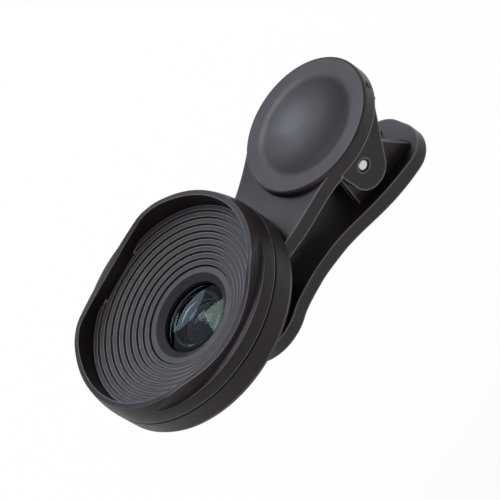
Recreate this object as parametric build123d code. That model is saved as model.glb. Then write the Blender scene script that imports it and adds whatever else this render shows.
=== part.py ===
from build123d import *
import os
from math import acos, atan2, ceil, cos, degrees, hypot, radians, sin, sqrt

# Clip-on lens for a phone, in millimetres.
# The origin is on the optical axis, in the plane where the front jaw's soft ring
# meets the phone. +Z runs out of the lens, +X runs along the clip to the thumb pad.

# Play and gaps
thread_play = 0.06
pin_play = 0.05
pin_tight_play = 0.01
leg_play = 0.05
ear_gap = 0.3
jaw_gap = 0.2
groove_gap = 0.36
seat_gap = 0.05
boss_gap = 0.1
tool_over = 1.0

# Front arm
arm_t = 2.6
lens_end_wall = 2.0
neck_x = 17.6
neck_w = 15.6
neck_leave_angle = 38.0
shoulder_w = 19.0943
shoulder_over = 1.25
pad_meet_angle = 115.0
pad_x = 34.6
pad_r = 11.95
pad_rise = 2.08
# Shares of that rise reached at the shoulder and where the strip runs into the pad
shoulder_rise = 0.5
merge_rise = 0.78
merge_back = 4.8
dish_wall = 3.2
dish_depth = 1.5
dish_blend_r = 4.0
pad_edge_r = 0.45

# Hinge
pin_d = 1.8
pin_setback = 1.0
pin_below_pad = 6.0
pin_recess = 0.15
pin_edge = 0.15
ear_t = 2.5
ear_round_r = 3.5
ear_hang = 4.75
ear_front_angle = 52.0
ear_bore_r = 1.15
ear_bore_depth = 0.4
skirt_r = 2.2
flare_inset = 0.3
lug_t = 1.6
lug_out_w = 9.0
lug_round_r = 3.5
lug_foot_back = 5.2
lug_foot_front = 8.5

# Spring
wire_d = 1.0
coil_r = 2.4
coil_pitch = 1.06
coil_full_turns = 4
leg_reach = 8.0

# Rear arm
rear_t = 2.55
rear_w = 14.0
jaw_end_x = 6.0
jaw_end_r = 8.0
jaw_leave_angle = 70.0
heel_x = 14.5
tail_overhang = 9.4
tail_below_pin = 9.0
tail_corner_r = 5.6
# Shares of the way from the heel to the tail, along and down, with the thickness there
rear_curve = [
    (0.12, 0.05, 1.02),
    (0.23, 0.14, 1.05),
    (0.46, 0.50, 1.10),
    (0.67, 0.78, 1.12),
    (0.80, 0.90, 1.04),
]
spring_seat = 4
tail_tip_share = 0.70

# Soft jaw pads
jaw_ring_t = 2.0
jaw_ring_r = 12.4
jaw_ring_hole_r = 8.6
jaw_ring_edge_r = 0.5
rear_pad_t = 3.95
rear_pad_r = 6.9
rear_pad_edge_r = 1.2
rear_pad_ribs = 5
rear_pad_rib_pitch = 2.2
rear_pad_rib_w = 0.7
rear_pad_rib_depth = 0.5

# Threaded socket insert
insert_r = 11.6
insert_groove_w = 0.8
insert_groove_depth = 0.5

# Macro barrel
grip_r = 19.0
grip_h = 4.2
grip_back_chamfer = 0.7
mount_thread_r = 10.0
nose_r = 8.2
nose_inset = 0.3
macro_ring_h = 0.7
macro_ring_w = 0.6
macro_slot_depth = 0.3
spanner_slot_w = 1.0
macro_air = 0.55
macro_web_t = 0.25
macro_floor_gap = 0.15
grip_wall = 2.6
grip_back_draft = 0.3
grip_edge = 0.15
shoulder_w_over = 0.6
shoulder_slope = 0.3
grip_back_lift = 0.4
grip_back_h = 0.5
macro_glass_r = 6.9
macro_aperture_r = 5.9
macro_glass_edge = 0.9
macro_front_sag = 0.45
macro_back_sag = 0.4

# Hood, its walls and tapers counted in from the grip ring's outside
hood_h = 4.7
hood_dip = 1.46
hood_dip_r = 34.0
hood_dip_blend_r = 8.0
hood_end_drop = 0.45
hood_end_flat = 13.0
hood_base_h = 2.27
hood_bow_r = 20.5
hood_cove_r = 0.9
hood_end_taper = 0.85
hood_side_taper = 1.55
hood_rim_t = 0.7
hood_side_wall = 3.2
hood_end_wall = 1.75
hood_neck_t = 0.35
hood_corner_r = 3.0
wide_thread_h = 3.2
wide_boss_t = 1.2

# Ribbed baffle
rib_first_r = 8.47
rib_pitch = 0.98
rib_tilt = 0.105
rib_groove_w = 0.24
rib_groove_depth = 0.16
rib_first_depth = 1.97
baffle_wall = 0.27
hub_t = 1.0

# Bezel and lens cell
bezel_gap = 0.2
bezel_depth = 2.24
bezel_flat_w = 1.05
bezel_h = 0.85
bezel_skirt_h = 0.45
bezel_skirt_w = 0.9
bezel_edge = 0.08
front_aperture_r = 6.06
cell_flange_r = 9.2
cell_flange_t = 0.35
cell_play = 0.08
cell_lip_t = 0.3
cell_lip_r = 3.9
front_glass_r = 6.55
front_glass_edge = 0.8
front_glass_sag = 0.8
front_glass_hollow = 1.0
front_glass_hollow_r = 4.2
rear_glass_r = 4.45
rear_glass_edge = 0.55
spacer_t = 0.4
spacer_hole_r = 3.6
second_glass_edge = 0.6
second_glass_sag = 0.5
inner_ring_t = 0.3
inner_ring_hole_r = 3.5
inner_slot_depth = 0.15
stepped_spacer_steps = 3
glass_side_gap = 0.03
rear_glass_front_sag = 0.25
rear_glass_back_sag = 0.15
stepped_spacer_t = 0.4
stepped_spacer_land = 0.5
second_glass_back_sag = 0.2
inner_ring_slope = 0.25

# Radii and heights above the phone, worked out from the sizes above
lens_end_r = insert_r + lens_end_wall
shoulder_x = pad_x - sqrt(pad_r ** 2 - (shoulder_w / 2 - shoulder_over) ** 2)
dish_r = pad_r - dish_wall
wide_thread_r = grip_r - grip_wall
grip_back_r = grip_r - grip_back_draft
hood_rim_end_r = grip_r - hood_end_taper
hood_rim_side_r = grip_r - hood_side_taper
hood_inner_end_r = grip_r - hood_end_wall
hood_inner_side_r = grip_r - hood_side_wall
rib_count = ceil((hood_inner_end_r - rib_first_r) / rib_pitch)
arm_back_z = jaw_ring_t
arm_top_z = arm_back_z + arm_t
pad_top_z = arm_top_z + pad_rise
pad_under_z = pad_top_z - arm_t
pin_x = pad_x - pin_setback
pin_z = pad_under_z - pin_below_pad
ear_in = lug_out_w / 2 + ear_gap
ear_out = ear_in + ear_t
jaw_face_z = -jaw_gap - rear_pad_t
tail_x = pad_x + tail_overhang
tail_z = pin_z - tail_below_pin
grip_under_z = arm_top_z + grip_back_lift
grip_back_z = grip_under_z + grip_back_h
groove_z = grip_back_z + grip_h
grip_top_z = groove_z - groove_gap / 2
hood_base_z = groove_z + groove_gap / 2
rim_z = groove_z + hood_h
bezel_top_z = groove_z - bezel_depth
bezel_r = rib_first_r - bezel_gap
cell_r = bezel_r
bezel_bottom_z = bezel_top_z - bezel_h
cell_top_z = bezel_bottom_z - seat_gap
front_glass_top_z = bezel_bottom_z - bezel_skirt_h
front_glass_low_z = front_glass_top_z - front_glass_edge
barrel_boss_low_z = arm_back_z + boss_gap
macro_glass_low_z = nose_inset + macro_ring_h
macro_glass_high_z = macro_glass_low_z + macro_glass_edge
macro_web_z = macro_glass_high_z + macro_air
cell_low_z = macro_web_z + macro_web_t + seat_gap
hub_low_z = bezel_bottom_z
flange_low_z = hub_low_z - cell_flange_t
macro_floor_z = flange_low_z - macro_floor_gap
wide_boss_low_z = hood_base_z - wide_thread_h
rib_first_z = groove_z - rib_first_depth
neck_rise = hood_base_z + hood_neck_t + seat_gap + baffle_wall + rib_groove_depth - rib_first_z
rib_slope = neck_rise / (wide_thread_r - rib_first_r - rib_pitch)
rib_step = rib_slope * rib_pitch
baffle_t = rib_step + rib_groove_depth + baffle_wall
baffle_drop = baffle_t + seat_gap
crest_z = rib_first_z + (hood_inner_end_r - rib_first_r) * rib_slope + rib_tilt + seat_gap


def turned(corners):
    """A solid of revolution about Z from (radius, height) corners."""
    profile = Plane.XZ * make_face(Polyline(*corners, close=True))
    return revolve(profile, Axis.Z)


def tube(outer_r, inner_r, low, high):
    return turned([(inner_r, low), (outer_r, low), (outer_r, high), (inner_r, high)])


def side_prism(face, half_width):
    """An outline drawn as (x, z), made as wide as 2 * half_width along Y."""
    return extrude(Plane.XZ * face, amount=half_width, both=True)


def cross_pin(radius, x, z, half_length):
    bar = Cylinder(radius, 2 * half_length, rotation=(90, 0, 0))
    return Pos(x, 0, z) * bar


def dome_arc(vertex_z, edge_r, edge_z):
    """The half section of a round surface, from the axis to its edge."""
    sag = vertex_z - edge_z
    ball_r = (edge_r ** 2 + sag ** 2) / (2 * abs(sag))
    mid_r = edge_r / 2
    mid_drop = ball_r - sqrt(ball_r ** 2 - mid_r ** 2)
    mid_z = vertex_z - mid_drop if sag > 0 else vertex_z + mid_drop
    return ThreePointArc((0, vertex_z), (mid_r, mid_z), (edge_r, edge_z))


def glass(rim_r, low, high, top_vertex, top_r, low_vertex, low_r):
    """A lens element: flat rim faces outside top_r and low_r, round faces inside them."""
    top = dome_arc(top_vertex, top_r, high)
    bottom = dome_arc(low_vertex, low_r, low)
    rim = Polyline((top_r, high), (rim_r, high), (rim_r, low), (low_r, low))
    axis = Line((0, low_vertex), (0, top_vertex))
    return revolve(Plane.XZ * make_face([top, rim, bottom, axis]), Axis.Z)


def oval_outline(long_r, short_w, corner_r):
    """A circle with two flats across Y and softened corners."""
    shape = Circle(long_r) & Rectangle(4 * long_r, short_w)
    return fillet(shape.vertices(), corner_r)


# Front arm
def arm_outline():
    """Plan of the front arm: round lens end, neck, and the round thumb pad."""
    start = radians(neck_leave_angle)
    end = radians(pad_meet_angle)
    p0 = (lens_end_r * cos(start), lens_end_r * sin(start))
    p3 = (pad_x + pad_r * cos(end), pad_r * sin(end))
    bend = [p0, (neck_x, neck_w / 2), (shoulder_x, shoulder_w / 2), p3]
    leave = (sin(start), -cos(start))
    arrive = (sin(end), -cos(end))
    upper = Spline(*bend, tangents=[leave, arrive])
    lower = Spline(*[(x, -y) for x, y in bend], tangents=[(leave[0], -leave[1]), (arrive[0], -arrive[1])])
    lens_end = ThreePointArc(p0, (-lens_end_r, 0), (p0[0], -p0[1]))
    pad_end = ThreePointArc(p3, (pad_x + pad_r, 0), (p3[0], -p3[1]))
    return make_face([upper, lower, lens_end, pad_end])


def arm_side():
    """Side view of the front arm's strip: level at the lens, rising into the pad."""
    rise = pad_top_z - arm_top_z
    left = -lens_end_r - tool_over
    over = [
        (neck_x, arm_top_z),
        (shoulder_x, arm_top_z + shoulder_rise * rise),
        (pad_x - merge_back, arm_top_z + merge_rise * rise),
    ]
    under = [(x, z - arm_t) for x, z in over]
    top = Spline(*over, tangents=[(1, 0), (1, 0.12)])
    bottom = Spline(*under, tangents=[(1, 0), (1, 0.12)])
    ends = [
        Line((left, arm_top_z), over[0]),
        Line((left, arm_back_z), (left, arm_top_z)),
        Line((left, arm_back_z), under[0]),
        Line(over[-1], under[-1]),
    ]
    return make_face([top, bottom] + ends)


def ear_outline():
    """Side view of one hinge ear, hanging from the pad round the pin."""
    round_z = pin_z - ear_hang + ear_round_r
    turn = radians(ear_front_angle)
    left = pin_x - ear_round_r
    low_mid = (pin_x - ear_round_r * sin(radians(45)), round_z - ear_round_r * cos(radians(45)))
    leave = (pin_x + ear_round_r * sin(turn), round_z - ear_round_r * cos(turn))
    bottom = (pin_x, round_z - ear_round_r)
    top = pad_under_z + arm_t / 2
    run = (top - leave[1]) / sin(turn) * cos(turn)
    leave_mid = (pin_x + ear_round_r * sin(turn / 2), round_z - ear_round_r * cos(turn / 2))
    edges = [
        Line((left, top), (left, round_z)),
        ThreePointArc((left, round_z), low_mid, bottom),
        ThreePointArc(bottom, leave_mid, leave),
        Line(leave, (leave[0] + run, top)),
        Line((leave[0] + run, top), (left, top)),
    ]
    return make_face(edges)


def thumb_pad():
    pad = Pos(pad_x, 0, pad_under_z) * extrude(Circle(pad_r), amount=arm_t)
    return fillet(pad.edges().group_by(Axis.Z)[-1], pad_edge_r)


def dish_tool():
    """What the dish takes from the pad: a shallow ball whose edge is rounded over."""
    ball_r = (dish_r ** 2 + dish_depth ** 2) / (2 * dish_depth)
    ball_z = ball_r - dish_depth
    end_r = sqrt((ball_r + dish_blend_r) ** 2 - (ball_z + dish_blend_r) ** 2)
    share = dish_blend_r / (ball_r + dish_blend_r)
    meet = (end_r * (1 - share), -dish_blend_r + share * (ball_z + dish_blend_r))
    turn = atan2(meet[0], ball_z - meet[1])
    low_mid = (ball_r * sin(turn / 2), ball_z - ball_r * cos(turn / 2))
    high_mid = (end_r - dish_blend_r * sin(turn / 2), -dish_blend_r + dish_blend_r * cos(turn / 2))
    profile = make_face([
        ThreePointArc((0, -dish_depth), low_mid, meet),
        ThreePointArc(meet, high_mid, (end_r, 0)),
        Polyline((end_r, 0), (end_r, tool_over), (0, tool_over), (0, -dish_depth)),
    ])
    return Pos(pad_x, 0, pad_top_z) * revolve(Plane.XZ * profile, Axis.Z)


def ear_flares():
    """Hollow flares that run the ears' outer faces into the pad's underside."""
    y, z = ear_out, pad_under_z
    mid = skirt_r * (1 - sin(radians(45)))
    root = arm_t / 5
    profile = make_face([
        Polyline((y, z - skirt_r), (y - root, z - skirt_r), (y - root, z + root), (y + skirt_r, z + root),
                 (y + skirt_r, z)),
        ThreePointArc((y + skirt_r, z), (y + mid, z - mid), (y, z - skirt_r)),
    ])
    flare = extrude(Plane.YZ * profile, amount=pad_x + pad_r)
    flare += mirror(flare, about=Plane.XZ)
    under_pad = Pos(pad_x, 0, z - skirt_r) * extrude(Circle(pad_r - flare_inset), amount=skirt_r + arm_t / 2)
    return flare & under_pad & side_prism(ear_outline(), pad_r)


def make_front_arm():
    strip = extrude(Plane.XY.offset(arm_back_z) * arm_outline(), amount=pad_top_z - arm_back_z)
    strip &= side_prism(arm_side(), 2 * pad_r)
    ears = side_prism(ear_outline(), ear_out) - side_prism(ear_outline(), ear_in)
    arm = strip + thumb_pad() + ears + ear_flares() - dish_tool()
    arm -= cross_pin(pin_d / 2 + pin_tight_play, pin_x, pin_z, 2 * ear_out)
    sink = cross_pin(ear_bore_r, pin_x, pin_z, 2 * ear_out)
    arm -= sink - cross_pin(2 * ear_bore_r, pin_x, pin_z, ear_out - ear_bore_depth)
    arm -= Pos(0, 0, arm_back_z - tool_over) * extrude(Circle(insert_r), amount=arm_t + 2 * tool_over)
    return arm


def make_socket_ring():
    """Threaded metal insert moulded into the front arm, keyed by one groove."""
    inner_r = mount_thread_r + thread_play
    mid = (arm_back_z + arm_top_z) / 2
    half = insert_groove_w / 2
    waist_r = insert_r - insert_groove_depth
    corners = [(inner_r, arm_back_z), (insert_r, arm_back_z), (insert_r, mid - half), (waist_r, mid - half)]
    corners += [(waist_r, mid + half), (insert_r, mid + half), (insert_r, arm_top_z), (inner_r, arm_top_z)]
    return turned(corners)


# Hinge pieces
def make_pivot_pin():
    pin = cross_pin(pin_d / 2, pin_x, pin_z, ear_out - pin_recess)
    ends = pin.edges().filter_by(GeomType.CIRCLE)
    return chamfer(ends, pin_edge)


def rear_points():
    """Upper and lower side-view points of the rear arm, from the jaw end to the tail."""
    left = jaw_end_x - jaw_end_r - tool_over
    right = tail_x + tool_over
    upper = [(heel_x, jaw_face_z)]
    lower = [(heel_x, jaw_face_z - rear_t)]
    for along, down, thick in rear_curve:
        x = heel_x + along * (right - heel_x)
        z = jaw_face_z + down * (tail_z - jaw_face_z)
        upper.append((x, z))
        lower.append((x, z - thick * rear_t))
    upper.append((right, tail_z))
    lower.append((right, tail_z - tail_tip_share * rear_t))
    return left, upper, lower


def make_rear_arm():
    left, upper, lower = rear_points()
    top = Spline(*upper, tangents=[(1, 0), (1, -0.05)])
    bottom = Spline(*lower, tangents=[(1, 0), (1, 0.12)])
    ends = [
        Line((left, jaw_face_z), upper[0]),
        Line((left, jaw_face_z - rear_t), lower[0]),
        Line((left, jaw_face_z), (left, jaw_face_z - rear_t)),
        Line(upper[-1], lower[-1]),
    ]
    strip = side_prism(make_face([top, bottom] + ends), rear_w)
    lowest = tail_z - 2 * rear_t
    arm = strip & extrude(Plane.XY.offset(lowest) * rear_outline(), amount=-lowest)
    arm += lugs(upper)
    arm -= cross_pin(pin_d / 2 + pin_play, pin_x, pin_z, rear_w)
    return arm


def rear_outline():
    """Plan of the rear arm: round jaw end, straight sides, softly squared tail."""
    half = rear_w / 2
    meet = radians(jaw_leave_angle)
    p0 = (jaw_end_x + jaw_end_r * cos(meet), jaw_end_r * sin(meet))
    p1 = (heel_x, half)
    p2 = (tail_x - tail_corner_r, half)
    p3 = (tail_x, half - tail_corner_r)
    corner = tail_corner_r * sin(radians(45))
    mid = (tail_x - tail_corner_r + corner, half - tail_corner_r + corner)
    edges = [ThreePointArc(p0, (jaw_end_x - jaw_end_r, 0), (p0[0], -p0[1])), Line(p3, (p3[0], -p3[1]))]
    for side in (1, -1):
        def at(point):
            return (point[0], side * point[1])
        blend = Spline(at(p0), at(p1), tangents=[(sin(meet), -side * cos(meet)), (1, 0)])
        edges += [blend, Line(at(p1), at(p2)), ThreePointArc(at(p2), at(mid), at(p3))]
    return make_face(edges)


def lugs(upper):
    """The two inner plates that carry the rear arm on the pin."""
    foot_z = upper[-1][1] - 0.5 * rear_t
    back_foot = (pin_x - lug_foot_back, upper[3][1] - 0.5 * rear_t)
    front_foot = (pin_x + lug_foot_front, foot_z)
    back = tangent_point(back_foot, 1)
    front = tangent_point(front_foot, -1)
    crown = (pin_x, pin_z + lug_round_r)
    outline = make_face([
        Line(back_foot, back),
        ThreePointArc(back, crown, front),
        Line(front, front_foot),
        Line(front_foot, back_foot),
    ])
    out = lug_out_w / 2
    return side_prism(outline, out) - side_prism(outline, out - lug_t)


def tangent_point(point, side):
    """Where a straight edge from a point meets the round top of the lug."""
    dx, dz = point[0] - pin_x, point[1] - pin_z
    away = hypot(dx, dz)
    turn = atan2(dz, dx) - side * acos(lug_round_r / away)
    return (pin_x + lug_round_r * cos(turn), pin_z + lug_round_r * sin(turn))


def make_torsion_spring():
    """A close coil round the pin, one leg under the thumb pad and one on the tail."""
    wire_r = wire_d / 2
    upper = rear_points()[1]
    before, seat, after = upper[spring_seat - 1:spring_seat + 2]
    slope = (after[1] - before[1]) / (after[0] - before[0])
    lift = (wire_r + leg_play) * hypot(1, slope)
    ends = [(pin_x + leg_reach, pad_under_z - wire_r - leg_play), (seat[0], seat[1] + lift)]
    turns = []
    for (x, z), side in zip(ends, (1, -1)):
        dx, dz = x - pin_x, z - pin_z
        turns.append(atan2(dz, dx) + side * acos(coil_r / hypot(dx, dz)))
    sweep_turns = coil_full_turns + ((degrees(turns[1] - turns[0])) % 360) / 360
    height = sweep_turns * coil_pitch
    start = (cos(turns[0]), 0, sin(turns[0]))
    base = Plane(origin=(pin_x, height / 2, pin_z), x_dir=start, z_dir=(0, -1, 0))
    helix = Location(base) * Helix(coil_pitch, height, coil_r)
    section = Plane(origin=helix @ 0, z_dir=helix % 0) * Circle(wire_r)
    spring = sweep(section, path=helix)
    for (x, z), turn, y in zip(ends, turns, (height / 2, -height / 2)):
        root = Vector(pin_x + coil_r * cos(turn), y, pin_z + coil_r * sin(turn))
        tip = Vector(x, y, z)
        leg = extrude(Plane(origin=root, z_dir=tip - root) * Circle(wire_r), amount=(tip - root).length)
        spring += leg + Pos(root) * Sphere(wire_r) + Pos(tip) * Sphere(wire_r)
    return spring


# Soft pads
def make_front_jaw_ring():
    ring = tube(jaw_ring_r, jaw_ring_hole_r, 0, jaw_ring_t)
    return fillet(ring.edges().group_by(Axis.Z)[0], jaw_ring_edge_r)


def make_rear_jaw_pad():
    pad = Pos(jaw_end_x, 0, jaw_face_z) * extrude(Circle(rear_pad_r), amount=rear_pad_t)
    pad = fillet(pad.edges().group_by(Axis.Z)[-1], rear_pad_edge_r)
    first = -(rear_pad_ribs - 1) / 2
    for i in range(rear_pad_ribs):
        x = jaw_end_x + (first + i) * rear_pad_rib_pitch
        cut = Box(rear_pad_rib_w, 3 * rear_pad_r, 2 * rear_pad_rib_depth)
        pad -= Pos(x, 0, jaw_face_z + rear_pad_t) * cut
    return pad


# Macro module
def make_macro_barrel():
    thread_r = wide_thread_r + thread_play
    shoulder_z = arm_top_z + seat_gap
    shoulder_r = insert_r + shoulder_w_over
    bore_r = cell_r + cell_play
    corners = [
        (nose_r, nose_inset),
        (nose_r, barrel_boss_low_z),
        (mount_thread_r, barrel_boss_low_z),
        (mount_thread_r, shoulder_z),
        (shoulder_r, shoulder_z),
        (shoulder_r + shoulder_slope, grip_under_z),
        (grip_back_r - grip_back_chamfer, grip_under_z),
        (grip_back_r, grip_back_z),
        (grip_r, grip_back_z + grip_back_chamfer),
        (grip_r, grip_top_z - grip_edge),
        (grip_r - grip_edge, grip_top_z),
        (thread_r, grip_top_z),
        (thread_r, macro_floor_z),
        (bore_r, macro_floor_z),
        (bore_r, macro_web_z),
        (macro_aperture_r, macro_web_z),
        (macro_aperture_r, macro_glass_high_z),
        (macro_glass_r + glass_side_gap, macro_glass_high_z),
        (macro_glass_r + glass_side_gap, nose_inset),
    ]
    return turned(corners)


def make_macro_lens():
    low, high = macro_glass_low_z, macro_glass_high_z
    round_r = macro_aperture_r - seat_gap
    return glass(macro_glass_r, low, high, high + macro_front_sag, round_r, low - macro_back_sag, round_r)


def make_macro_retaining_ring():
    low, high = nose_inset + glass_side_gap, macro_glass_low_z
    inner = macro_glass_r - macro_ring_w
    ring = turned([(inner, low), (macro_glass_r, low), (macro_glass_r, high), (macro_aperture_r, high)])
    return ring - spanner_slots(macro_glass_r, low, macro_slot_depth)


def spanner_slots(ring_r, face_z, depth):
    """The two slots across a retaining ring's face that a spanner turns it by."""
    return Pos(0, 0, face_z) * Box(2 * (ring_r + tool_over), spanner_slot_w, 2 * depth)


# Wide angle module
def above_rim():
    """What the rim's line takes off the hood: a dip across its middle, and a slight fall at its ends."""
    far = grip_r + tool_over
    top = rim_z + 2 * tool_over
    dip_z = rim_z - hood_dip
    half = sqrt(hood_dip_r ** 2 - (hood_dip_r - hood_dip) ** 2)
    end = [(hood_end_flat, rim_z), (far, rim_z - hood_end_drop)]
    right = Polyline((half, rim_z), *end, (far, top), (0, top))
    left = mirror(right, about=Plane.YZ)
    face = make_face([ThreePointArc((-half, rim_z), (0, dip_z), (half, rim_z)), right, left])
    corners = face.vertices().filter_by(lambda v: abs(abs(v.X) - half) < seat_gap)
    return side_prism(fillet(corners, hood_dip_blend_r), grip_r)


def hood_cavity():
    """The space inside the hood, wider at the rim than at the ribs."""
    low = oval_outline(hood_inner_end_r, 2 * hood_inner_side_r, hood_corner_r)
    high = Circle(hood_rim_end_r - hood_rim_t) & bowed_outline(hood_rim_t)
    high = fillet(high.vertices(), hood_corner_r)
    return loft([Plane.XY.offset(crest_z) * low, Plane.XY.offset(rim_z + tool_over / 3) * high])


def funnel_z(radius):
    """Height of the ribs' crests at a radius."""
    return rib_first_z + (radius - rib_first_r) * rib_slope


def bowed_outline(inset):
    """Two bowed sides that cross beyond the hood's ends, moved in by an inset."""
    shift = hood_bow_r - hood_rim_side_r
    bow = Circle(hood_bow_r - inset)
    return (Pos(0, shift) * bow) & (Pos(0, -shift) * bow)


def hood_blank():
    """The hood as a plain round piece: its threaded boss, and a side that leans in from the groove up."""
    reach = grip_r - hood_rim_end_r
    rise = rim_z - hood_base_z
    side_r = (rise ** 2 + reach ** 2) / (2 * reach)
    half = rise / 2
    mid = (grip_r - side_r + sqrt(side_r ** 2 - half ** 2), hood_base_z + half)
    edges = [
        Polyline((hood_rim_end_r, rim_z), (0, rim_z), (0, wide_boss_low_z), (wide_thread_r, wide_boss_low_z),
                 (wide_thread_r, hood_base_z), (grip_r, hood_base_z)),
        ThreePointArc((grip_r, hood_base_z), mid, (hood_rim_end_r, rim_z)),
    ]
    return revolve(Plane.XZ * make_face(edges), Axis.Z)


def hood_sides():
    """What the bowed sides leave of the blank: a round foot, and a wall that coves into it."""
    base_top = hood_base_z + hood_base_h
    foot = extrude(Circle(hood_bow_r + tool_over), amount=base_top - wide_boss_low_z)
    foot = Pos(0, 0, wide_boss_low_z) * foot
    outline = bowed_outline(0)
    outline = fillet(outline.vertices(), hood_corner_r)
    wall = Pos(0, 0, wide_boss_low_z) * extrude(outline, amount=rim_z + tool_over - wide_boss_low_z)
    both = foot + wall
    inner_edges = both.edges().filter_by_position(Axis.Z, base_top, base_top).sort_by(SortBy.LENGTH)[:-1]
    return fillet(inner_edges, hood_cove_r)


def baffle_well():
    """The space that the ribbed baffle sits in, up to its outermost crest."""
    low_r = wide_thread_r - wide_boss_t
    high_r = hood_inner_end_r
    low = wide_boss_low_z - tool_over
    floor_in, floor_out = funnel_z(low_r) - baffle_drop, funnel_z(high_r) - baffle_drop
    well = turned([
        (0, low), (low_r, low), (low_r, floor_in),
        (high_r, floor_out), (high_r, crest_z), (0, crest_z),
    ])
    plan = oval_outline(high_r, 2 * hood_inner_side_r, hood_corner_r)
    return well & extrude(Plane.XY.offset(low) * plan, amount=crest_z - low)


def make_wide_hood():
    return (hood_blank() & hood_sides()) - hood_cavity() - baffle_well() - above_rim()


def make_ribbed_baffle():
    """The stepped funnel that kills reflections, clipped by the hood's flat sides."""
    corners = []
    for i in range(rib_count):
        r = rib_first_r + i * rib_pitch
        z = funnel_z(r)
        foot = z - rib_groove_depth
        corners += [(r, z), (r + rib_pitch - rib_groove_w, z + rib_tilt)]
        corners += [(r + rib_pitch - rib_groove_w, foot), (r + rib_pitch, foot)]
    outer = rib_first_r + rib_count * rib_pitch
    corners += [(outer, funnel_z(outer) - baffle_t)]
    hub_r = rib_first_r + hub_t
    corners += [(hub_r, funnel_z(hub_r) - baffle_t), (hub_r, hub_low_z), (rib_first_r, hub_low_z)]
    funnel = turned(corners)
    keep = oval_outline(hood_inner_end_r - seat_gap, 2 * (hood_inner_side_r - seat_gap), hood_corner_r)
    low = hub_low_z - tool_over
    return funnel & extrude(Plane.XY.offset(low) * keep, amount=rim_z - low)


def make_bezel_ring():
    cone_low_z = bezel_bottom_z + seat_gap
    skirt_out = front_glass_r + bezel_skirt_w
    corners = [
        (bezel_r, bezel_top_z - bezel_edge),
        (bezel_r - bezel_edge, bezel_top_z),
        (bezel_r - bezel_flat_w, bezel_top_z),
        (front_aperture_r, cone_low_z),
        (front_aperture_r, front_glass_top_z),
        (skirt_out, front_glass_top_z),
        (skirt_out, bezel_bottom_z),
        (bezel_r, bezel_bottom_z),
    ]
    return turned(corners)


def make_wide_lens_cell():
    skirt_out = front_glass_r + bezel_skirt_w + seat_gap
    glass_bore = front_glass_r + glass_side_gap
    rear_bore = rear_glass_r + glass_side_gap
    shelf_z = front_glass_low_z - stepped_spacer_t
    corners = [
        (cell_lip_r, cell_low_z),
        (cell_r, cell_low_z),
        (cell_r, flange_low_z),
        (cell_flange_r, flange_low_z),
        (cell_flange_r, cell_top_z),
        (skirt_out, cell_top_z),
        (skirt_out, front_glass_top_z - seat_gap),
        (glass_bore, front_glass_top_z - seat_gap),
        (glass_bore, shelf_z),
        (rear_bore, shelf_z),
        (rear_bore, cell_low_z + cell_lip_t),
        (cell_lip_r, cell_low_z + cell_lip_t),
    ]
    return turned(corners)


def make_wide_front_lens():
    low, high = front_glass_low_z, front_glass_top_z
    return glass(front_glass_r, low, high, high + front_glass_sag, front_aperture_r - seat_gap,
                 low + front_glass_hollow, front_glass_hollow_r)


def make_lens_spacer():
    """Stepped ring under the front glass, each step a light trap."""
    high, low = front_glass_low_z, front_glass_low_z - stepped_spacer_t
    drop = stepped_spacer_t / stepped_spacer_steps
    widest = front_glass_hollow_r + stepped_spacer_land
    narrow = (widest - rear_glass_r + stepped_spacer_land) / stepped_spacer_steps
    corners = [(front_glass_r, low), (front_glass_r, high)]
    for i in range(stepped_spacer_steps):
        r = widest - i * narrow
        corners += [(r, high - i * drop), (r, high - (i + 1) * drop)]
    return turned(corners)


def rear_stack():
    """Heights of the small glasses and rings, from the cell's lip upwards."""
    rear_low = cell_low_z + cell_lip_t
    rear_high = rear_low + rear_glass_edge
    second_low = rear_high + spacer_t
    second_high = second_low + second_glass_edge
    return rear_low, rear_high, second_low, second_high


def make_wide_rear_lens():
    low, high, _, _ = rear_stack()
    back_r = cell_lip_r - 2 * seat_gap
    high_vertex, low_vertex = high + rear_glass_front_sag, low - rear_glass_back_sag
    return glass(rear_glass_r, low, high, high_vertex, spacer_hole_r, low_vertex, back_r)


def make_inner_spacer():
    _, low, high, _ = rear_stack()
    return tube(rear_glass_r, spacer_hole_r + seat_gap, low, high)


def make_wide_second_lens():
    _, _, low, high = rear_stack()
    low_vertex = low + second_glass_back_sag
    high_vertex = high + second_glass_sag
    return glass(rear_glass_r, low, high, high_vertex, inner_ring_hole_r, low_vertex, spacer_hole_r)


def make_inner_retaining_ring():
    _, _, _, low = rear_stack()
    high = low + inner_ring_t
    inner_r = inner_ring_hole_r + seat_gap
    slope_r = inner_r + inner_ring_slope
    ring = turned([(inner_r, low), (rear_glass_r, low), (rear_glass_r, high), (slope_r, high)])
    return ring - spanner_slots(rear_glass_r, high, inner_slot_depth)


makers = {
    "front_arm": make_front_arm,
    "socket_ring": make_socket_ring,
    "pivot_pin": make_pivot_pin,
    "torsion_spring": make_torsion_spring,
    "front_jaw_ring": make_front_jaw_ring,
    "rear_arm": make_rear_arm,
    "rear_jaw_pad": make_rear_jaw_pad,
    "macro_barrel": make_macro_barrel,
    "macro_lens": make_macro_lens,
    "macro_retaining_ring": make_macro_retaining_ring,
    "wide_hood": make_wide_hood,
    "ribbed_baffle": make_ribbed_baffle,
    "bezel_ring": make_bezel_ring,
    "wide_lens_cell": make_wide_lens_cell,
    "wide_front_lens": make_wide_front_lens,
    "lens_spacer": make_lens_spacer,
    "wide_second_lens": make_wide_second_lens,
    "inner_retaining_ring": make_inner_retaining_ring,
    "inner_spacer": make_inner_spacer,
    "wide_rear_lens": make_wide_rear_lens,
}

os.makedirs("parts", exist_ok=True)
for node, make in makers.items():
    export_step(make(), f"parts/{node}.step")
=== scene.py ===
from math import cos, pi, radians, sin
import bpy
from mathutils import Matrix, Vector


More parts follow.
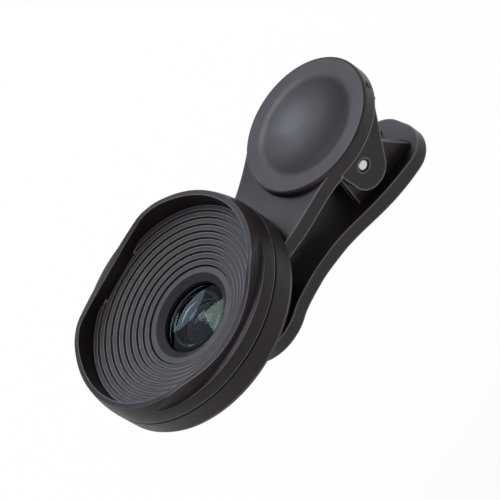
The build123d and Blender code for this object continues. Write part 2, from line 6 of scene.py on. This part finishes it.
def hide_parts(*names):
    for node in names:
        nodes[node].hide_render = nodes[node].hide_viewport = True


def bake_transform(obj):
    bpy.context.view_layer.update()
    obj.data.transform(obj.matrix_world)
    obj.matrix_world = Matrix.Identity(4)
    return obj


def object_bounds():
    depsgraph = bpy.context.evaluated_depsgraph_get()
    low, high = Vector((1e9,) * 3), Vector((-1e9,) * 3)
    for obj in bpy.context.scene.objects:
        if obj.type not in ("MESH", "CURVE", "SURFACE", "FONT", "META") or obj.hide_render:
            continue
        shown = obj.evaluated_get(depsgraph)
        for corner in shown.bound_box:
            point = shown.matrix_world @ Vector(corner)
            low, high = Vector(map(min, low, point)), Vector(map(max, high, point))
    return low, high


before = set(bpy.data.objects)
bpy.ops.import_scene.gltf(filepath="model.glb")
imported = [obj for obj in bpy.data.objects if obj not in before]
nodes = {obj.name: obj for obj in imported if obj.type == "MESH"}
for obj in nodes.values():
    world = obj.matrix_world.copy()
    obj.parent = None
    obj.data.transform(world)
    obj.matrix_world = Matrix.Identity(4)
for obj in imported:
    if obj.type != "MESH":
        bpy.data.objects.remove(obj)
cad_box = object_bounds()
MM = 0.001

# Camera, in the row frame: metres, with its lens and sensor in mm
camera_at = Vector((-0.0099, -0.2980, 0.2546))
camera_looks = Vector((0.0598, 0.7634, -0.6432))
camera_up = Vector((0.8667, 0.2799, 0.4128))
camera_lens = 180.0
camera_sensor = 36
camera_reach = 10

# Floor, in metres: the drop leaves room for the jaw to open
floor_drop = 0.032
floor_half = 1.5
floor_paint = (0.92, 0.92, 0.92)
floor_white = 0.95

# World: full white up to one height of the sky, and a dim ceiling from another
sky_white_to = 0.08
sky_dim_from = 0.2
ceiling_light = 0.3

# Lamps, in metres
lit_point = Vector((0.012, 0.0, 0.005))
lamp_distance = 1.5
cool = (0.80, 0.87, 1.0)
warm = (1.0, 0.90, 0.88)
pale_blue = (0.70, 0.88, 1.0)
pale_green = (0.76, 1.0, 0.72)

# Torsion spring, in mm, radians and turns, as in the CAD
pin_x, pin_z = 33.6, -1.92
wire_r = 0.5
coil_r = 2.4
coil_start = 1.91828
coil_turns = 4.28006
coil_height = 4.53686
pad_leg = (41.6, 3.53)
rear_leg = (34.935, -8.862)
coil_steps = 40
leg_steps = 8
wire_sides = 16
cap_leans = (30, 60, 85)

# Colours, linear
plastic_black = (0.013, 0.008, 0.009)
anodised_black = (0.013, 0.008, 0.009)
drifted_black = (0.019, 0.011, 0.012)
bezel_black = (0.034, 0.032, 0.036)
baffle_black = (0.050, 0.047, 0.048)
rubber_black = (0.016, 0.016, 0.016)
drifted_rubber = (0.02, 0.02, 0.02)
# Painted highlight colours for the outer edges
edge_highlight_grey = (0.18, 0.18, 0.20)
rib_edge_highlight_grey = (0.22, 0.22, 0.23)
pin_grey = (0.62, 0.60, 0.58)
wire_grey = (0.5, 0.49, 0.48)

# Glasses: the colour of each and of its coating, which drifts to a darker share of itself
glasses = {
    "wide_front_lens": ((0.80, 0.84, 0.88), (0.70, 0.88, 1.0)),
    "wide_second_lens": ((0.10, 0.05, 0.10), (0.80, 0.60, 0.90)),
    "wide_rear_lens": ((0.03, 0.02, 0.04), (0.80, 0.60, 1.0)),
    "macro_lens": ((0.75, 0.78, 0.82), (0.85, 0.75, 1.0)),
}
coating_dark = 0.8
coating_scale = 0.15

# Noise: the part of its range that is used, and its detail
noise_low, noise_high = 0.3, 0.7
soft_detail = 2.0
tint_detail = 4.0
grain_detail = 3.0

# Painted edge highlights on outer edges: the occlusion from inside that counts as all edge and as
# none
edge_all, edge_none = 0.55, 0.9
edge_samples = 8


def add_object(name, data):
    made = bpy.data.objects.new(name, data)
    bpy.context.scene.collection.objects.link(made)
    return made


class Paint:
    """A node material with a Principled shader and short calls for the nodes it needs."""

    def __init__(self, name, color, roughness, metallic=0.0, gloss=0.5):
        self.material = bpy.data.materials.new(name)
        self.material.use_nodes = True
        self.tree = self.material.node_tree
        self.shader = self.tree.nodes["Principled BSDF"]
        self.shader.inputs["Base Color"].default_value = (*color, 1)
        self.shader.inputs["Roughness"].default_value = roughness
        self.shader.inputs["Metallic"].default_value = metallic
        self.shader.inputs["IOR"].default_value = 1.5
        self.shader.inputs["Specular IOR Level"].default_value = gloss
        self.color = color

    def node(self, kind, **values):
        """A new node: each value goes to the socket of its name, or else to the setting."""
        made = self.tree.nodes.new(kind)
        for key, value in values.items():
            if key in made.inputs:
                made.inputs[key].default_value = value
            else:
                setattr(made, key, value)
        return made

    def link(self, source, target):
        self.tree.links.new(source, target)

    def noise(self, scale, detail=soft_detail):
        """Noise in the row frame: scale is in grains per millimetre."""
        coords = self.node("ShaderNodeTexCoord")
        grow = self.node("ShaderNodeMapping")
        grow.inputs["Scale"].default_value = [scale / MM] * 3
        noise = self.node("ShaderNodeTexNoise", Scale=1.0, Detail=detail)
        self.link(coords.outputs["Object"], grow.inputs["Vector"])
        self.link(grow.outputs["Vector"], noise.inputs["Vector"])
        return noise.outputs["Fac"]

    def spread(self, source, low, high, start=noise_low, end=noise_high):
        """Maps start to end of a value onto low to high, and holds it there."""
        ramp = self.node("ShaderNodeMapRange")
        ramp.inputs["From Min"].default_value = start
        ramp.inputs["From Max"].default_value = end
        ramp.inputs["To Min"].default_value = low
        ramp.inputs["To Max"].default_value = high
        self.link(source, ramp.inputs["Value"])
        return ramp.outputs["Result"]

    def mix(self, name, color, other, share):
        """Mixes a share of other into what the shader's colour socket has, or else into color."""
        socket = self.shader.inputs[name]
        mixed = self.node("ShaderNodeMix", data_type="RGBA")
        mixed.inputs["A"].default_value = (*color, 1)
        mixed.inputs["B"].default_value = (*other, 1)
        if socket.is_linked:
            self.link(socket.links[0].from_socket, mixed.inputs["A"])
        self.link(share, mixed.inputs["Factor"])
        self.link(mixed.outputs["Result"], socket)
        return self

    def mottle(self, scale, low, high):
        """Varies the roughness softly."""
        self.link(self.spread(self.noise(scale), low, high), self.shader.inputs["Roughness"])
        return self

    def tint(self, other, scale):
        """Drifts the colour between the base and another."""
        share = self.spread(self.noise(scale, tint_detail), 0, 1)
        return self.mix("Base Color", self.color, other, share)

    def edges(self, other, reach_mm):
        """Paints a highlight on the outer edges in a lighter colour, so that they show as fine
        bright lines.
        """
        inside = self.node("ShaderNodeAmbientOcclusion", samples=edge_samples, inside=True,
                           only_local=True, Distance=reach_mm * MM)
        share = self.spread(inside.outputs["AO"], 1.0, 0.0, edge_all, edge_none)
        return self.mix("Base Color", self.color, other, share)

    def grain(self, scale, depth_mm, bevel_mm=0.0):
        """Fine bump, over edges that look rounded by bevel_mm."""
        bump = self.node("ShaderNodeBump", Strength=1.0, Distance=depth_mm * MM)
        self.link(self.noise(scale, grain_detail), bump.inputs["Height"])
        if bevel_mm:
            bevel = self.node("ShaderNodeBevel", Radius=bevel_mm * MM)
            self.link(bevel.outputs["Normal"], bump.inputs["Normal"])
        self.link(bump.outputs["Normal"], self.shader.inputs["Normal"])
        return self

    def coating(self, color):
        """Clear glass whose reflections have an uneven colour."""
        self.shader.inputs["Transmission Weight"].default_value = 1.0
        darker = [coating_dark * part for part in color]
        share = self.spread(self.noise(coating_scale), 0, 1)
        return self.mix("Specular Tint", color, darker, share)

    def dress(self, *names):
        for name in names:
            mesh = nodes[name].data
            mesh.materials.clear()
            mesh.materials.append(self.material)


def paint_plastic():
    paint = Paint("moulded plastic", plastic_black, roughness=0.38, gloss=0.30)
    paint.tint(drifted_black, scale=0.05).mottle(scale=0.25, low=0.35, high=0.42)
    paint.grain(scale=9.0, depth_mm=0.004, bevel_mm=0.18).edges(edge_highlight_grey, reach_mm=0.4)
    paint.dress("front_arm", "rear_arm")


def paint_barrels():
    paint = Paint("black anodised", anodised_black, roughness=0.38, gloss=0.22)
    paint.tint(drifted_black, scale=0.04).mottle(scale=0.4, low=0.40, high=0.48)
    paint.grain(scale=6.0, depth_mm=0.003, bevel_mm=0.15).edges(edge_highlight_grey, reach_mm=0.22)
    paint.dress("macro_barrel", "wide_hood", "wide_lens_cell", "socket_ring")


def paint_bezel():
    paint = Paint("satin bezel", bezel_black, roughness=0.42, gloss=0.3)
    paint.mottle(scale=0.6, low=0.38, high=0.48)
    paint.grain(scale=6.0, depth_mm=0.004, bevel_mm=0.1).edges(edge_highlight_grey, reach_mm=0.15)
    paint.dress("bezel_ring")


def paint_rings():
    paint = Paint("retaining rings", anodised_black, roughness=0.45, gloss=0.22)
    paint.grain(scale=8.0, depth_mm=0.004)
    paint.dress("macro_retaining_ring", "inner_retaining_ring", "inner_spacer", "lens_spacer")


def paint_baffle():
    paint = Paint("matt black baffle", baffle_black, roughness=0.5, gloss=0.15)
    paint.mottle(scale=0.8, low=0.45, high=0.6)
    paint.grain(scale=5.0, depth_mm=0.02, bevel_mm=0.06).edges(rib_edge_highlight_grey, reach_mm=0.15)
    paint.dress("ribbed_baffle")


def paint_rubber():
    paint = Paint("soft rubber", rubber_black, roughness=0.7, gloss=0.25)
    paint.tint(drifted_rubber, scale=0.1).mottle(scale=0.5, low=0.62, high=0.8)
    paint.grain(scale=5.0, depth_mm=0.01, bevel_mm=0.1)
    paint.dress("front_jaw_ring", "rear_jaw_pad")


def paint_pin():
    paint = Paint("bright steel", pin_grey, roughness=0.25, metallic=1.0)
    paint.mottle(scale=2.0, low=0.18, high=0.32).grain(scale=8.0, depth_mm=0.003, bevel_mm=0.1)
    paint.dress("pivot_pin")


def paint_wire():
    """The spring's steel. The smooth spring gets it too."""
    paint = Paint("spring wire", wire_grey, roughness=0.3, metallic=1.0)
    paint.mottle(scale=1.5, low=0.25, high=0.4).grain(scale=6.0, depth_mm=0.004)
    paint.dress("torsion_spring")
    return paint.material


def paint_glass():
    for name, (body, coat) in glasses.items():
        Paint(name + " coating", body, roughness=0.0).coating(coat).dress(name)


def spring_line():
    """The wire's centre line, in mm: the leg under the pad, the coil, the rear arm's leg."""
    steps = int(coil_turns * coil_steps)
    line = []
    for i in range(steps + 1):
        turned = i / steps * coil_turns
        angle = coil_start + 2 * pi * turned
        y = coil_height * (0.5 - turned / coil_turns)
        line.append(Vector((pin_x + coil_r * cos(angle), y, pin_z + coil_r * sin(angle))))
    legs = []
    for (x, z), root in ((pad_leg, line[0]), (rear_leg, line[-1])):
        tip = Vector((x, root.y, z))
        legs.append([root.lerp(tip, i / leg_steps) for i in range(1, leg_steps + 1)])
    return legs[0][::-1] + line + legs[1]


def wire_rings(line):
    """The wire's rings, each a centre, a direction and a radius, with both ends rounded."""
    rings = []
    for i, point in enumerate(line):
        along = (line[min(i + 1, len(line) - 1)] - line[max(i - 1, 0)]).normalized()
        rings.append((point, along, wire_r))
    for end, sign in ((0, -1), (-1, 1)):
        point, along, _ = rings[end]
        for lean in map(radians, cap_leans):
            cap = (point + along * sign * wire_r * sin(lean), along, wire_r * cos(lean))
            rings.insert(0 if sign < 0 else len(rings), cap)
    return rings


def wire_mesh(rings):
    """A closed skin through the rings, in metres."""
    points, faces = [], []
    for point, along, radius in rings:
        side = Vector((0, 1, 0))
        side = (side - along * side.dot(along)).normalized()
        other = along.cross(side)
        for k in range(wire_sides):
            angle = 2 * pi * k / wire_sides
            points.append((point + (side * cos(angle) + other * sin(angle)) * radius) * MM)
    for i in range(len(rings) - 1):
        near, far = i * wire_sides, (i + 1) * wire_sides
        for k in range(wire_sides):
            after = (k + 1) % wire_sides
            faces.append((near + k, near + after, far + after, far + k))
    faces.append(tuple(range(wire_sides))[::-1])
    faces.append(tuple(len(points) - wire_sides + k for k in range(wire_sides)))
    mesh = bpy.data.meshes.new("smooth_spring")
    mesh.from_pydata(points, [], faces)
    mesh.shade_smooth()
    return mesh


def make_spring(material):
    """A smooth coil with a leg under the pad and a leg on the rear arm, shown in place of the CAD
    spring.
    """
    mesh = wire_mesh(wire_rings(spring_line()))
    mesh.materials.append(material)
    spring = add_object("smooth_spring", mesh)
    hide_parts("torsion_spring")
    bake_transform(spring)
    return spring


def make_camera():
    data = bpy.data.cameras.new("camera")
    data.lens = camera_lens
    data.sensor_width = camera_sensor
    data.clip_end = camera_reach
    camera = add_object("camera", data)
    back = -camera_looks.normalized()
    right = camera_up.cross(back).normalized()
    up = back.cross(right)
    turn = Matrix((right, up, back)).transposed()
    camera.matrix_world = Matrix.Translation(camera_at) @ turn.to_4x4()
    bpy.context.scene.camera = camera


def make_world():
    """A white sweep round the horizon under a dim ceiling."""
    world = bpy.data.worlds.new("studio")
    world.use_nodes = True
    bpy.context.scene.world = world
    tree = world.node_tree
    back = tree.nodes["Background"]
    coords = tree.nodes.new("ShaderNodeTexCoord")
    split = tree.nodes.new("ShaderNodeSeparateXYZ")
    fade = tree.nodes.new("ShaderNodeMapRange")
    fade.interpolation_type = "SMOOTHSTEP"
    fade.inputs["From Min"].default_value = sky_white_to
    fade.inputs["From Max"].default_value = sky_dim_from
    fade.inputs["To Min"].default_value = 1.0
    fade.inputs["To Max"].default_value = ceiling_light
    tree.links.new(coords.outputs["Generated"], split.inputs[0])
    tree.links.new(split.outputs["Z"], fade.inputs["Value"])
    back.inputs["Color"].default_value = (1, 1, 1, 1)
    tree.links.new(fade.outputs["Result"], back.inputs["Strength"])


def seen_rays(paint):
    """1 for rays from the camera, a reflection or a transmission, and 0 for all others."""
    path = paint.node("ShaderNodeLightPath")
    seen = path.outputs["Is Camera Ray"]
    for ray in ("Is Glossy Ray", "Is Transmission Ray"):
        either = paint.node("ShaderNodeMath", operation="MAXIMUM")
        paint.link(seen, either.inputs[0])
        paint.link(path.outputs[ray], either.inputs[1])
        seen = either.outputs[0]
    return seen


def make_floor():
    """A floor that is seen nearly white, and lights the part like a painted one."""
    low = cad_box[0][2] - floor_drop
    corners = [(-floor_half, -floor_half), (floor_half, -floor_half),
               (floor_half, floor_half), (-floor_half, floor_half)]
    mesh = bpy.data.meshes.new("floor")
    mesh.from_pydata([(x, y, low) for x, y in corners], [], [(0, 1, 2, 3)])
    floor = add_object("floor", mesh)
    paint = Paint("floor", floor_paint, roughness=0.9, gloss=0.0)
    glow = paint.node("ShaderNodeEmission", Strength=1.0)
    mixed = paint.node("ShaderNodeMixShader")
    share = paint.spread(seen_rays(paint), low=0.0, high=floor_white, start=0.0, end=1.0)
    paint.link(share, mixed.inputs[0])
    paint.link(paint.shader.outputs[0], mixed.inputs[1])
    paint.link(glow.outputs[0], mixed.inputs[2])
    paint.link(mixed.outputs[0], paint.tree.nodes["Material Output"].inputs["Surface"])
    mesh.materials.append(paint.material)
    return floor


def softbox(name, direction, radius, radiance, color, lit, shape="DISK"):
    """A lamp that faces lit_point and lights only what is in lit.

    Radiance is what a mirror would show. A square lamp's radius is half its side.
    """
    data = bpy.data.lights.new(name, "AREA")
    data.shape = shape
    data.size = 2 * radius
    area = pi * radius ** 2 if shape == "DISK" else 4 * radius ** 2
    data.energy = radiance * pi * area
    data.color = color
    lamp = add_object(name, data)
    toward = Vector(direction).normalized()
    lamp.location = lit_point + toward * lamp_distance
    lamp.rotation_euler = (-toward).to_track_quat("-Z", "Y").to_euler()
    lamp.visible_camera = False
    receivers = bpy.data.collections.new(name + " lights")
    for piece in lit:
        receivers.objects.link(piece)
    lamp.light_linking.receiver_collection = receivers


def make_lamps(spring, floor):
    """Three lamps for all but the glasses, one for the ribs, two that the front glass shows."""
    solid = [piece for name, piece in nodes.items() if name not in glasses] + [spring, floor]
    ribs = [nodes["ribbed_baffle"]]
    front = [nodes["wide_front_lens"]]
    softbox("key", (0.14, 0.53, 0.84), 0.72, 3.1, cool, solid)
    softbox("core", (0.147, 0.494, 0.852), 0.20, 16.0, cool, solid)
    softbox("fill", (-0.7, -0.55, 0.45), 0.6, 0.7, warm, solid)
    softbox("side", (0.5, -0.2, 0.84), 0.45, 3.0, warm, ribs)
    softbox("window", (0.06, 0.88, 0.46), 0.32, 1.4, pale_blue, front)
    softbox("glint", (0.20, 0.45, 0.87), 0.27, 3.0, pale_green, front, "SQUARE")


bpy.context.scene.view_settings.view_transform = "Standard"
make_camera()
make_world()
floor = make_floor()
paint_plastic()
paint_barrels()
paint_bezel()
paint_rings()
paint_baffle()
paint_rubber()
paint_pin()
spring = make_spring(paint_wire())
paint_glass()
make_lamps(spring, floor)
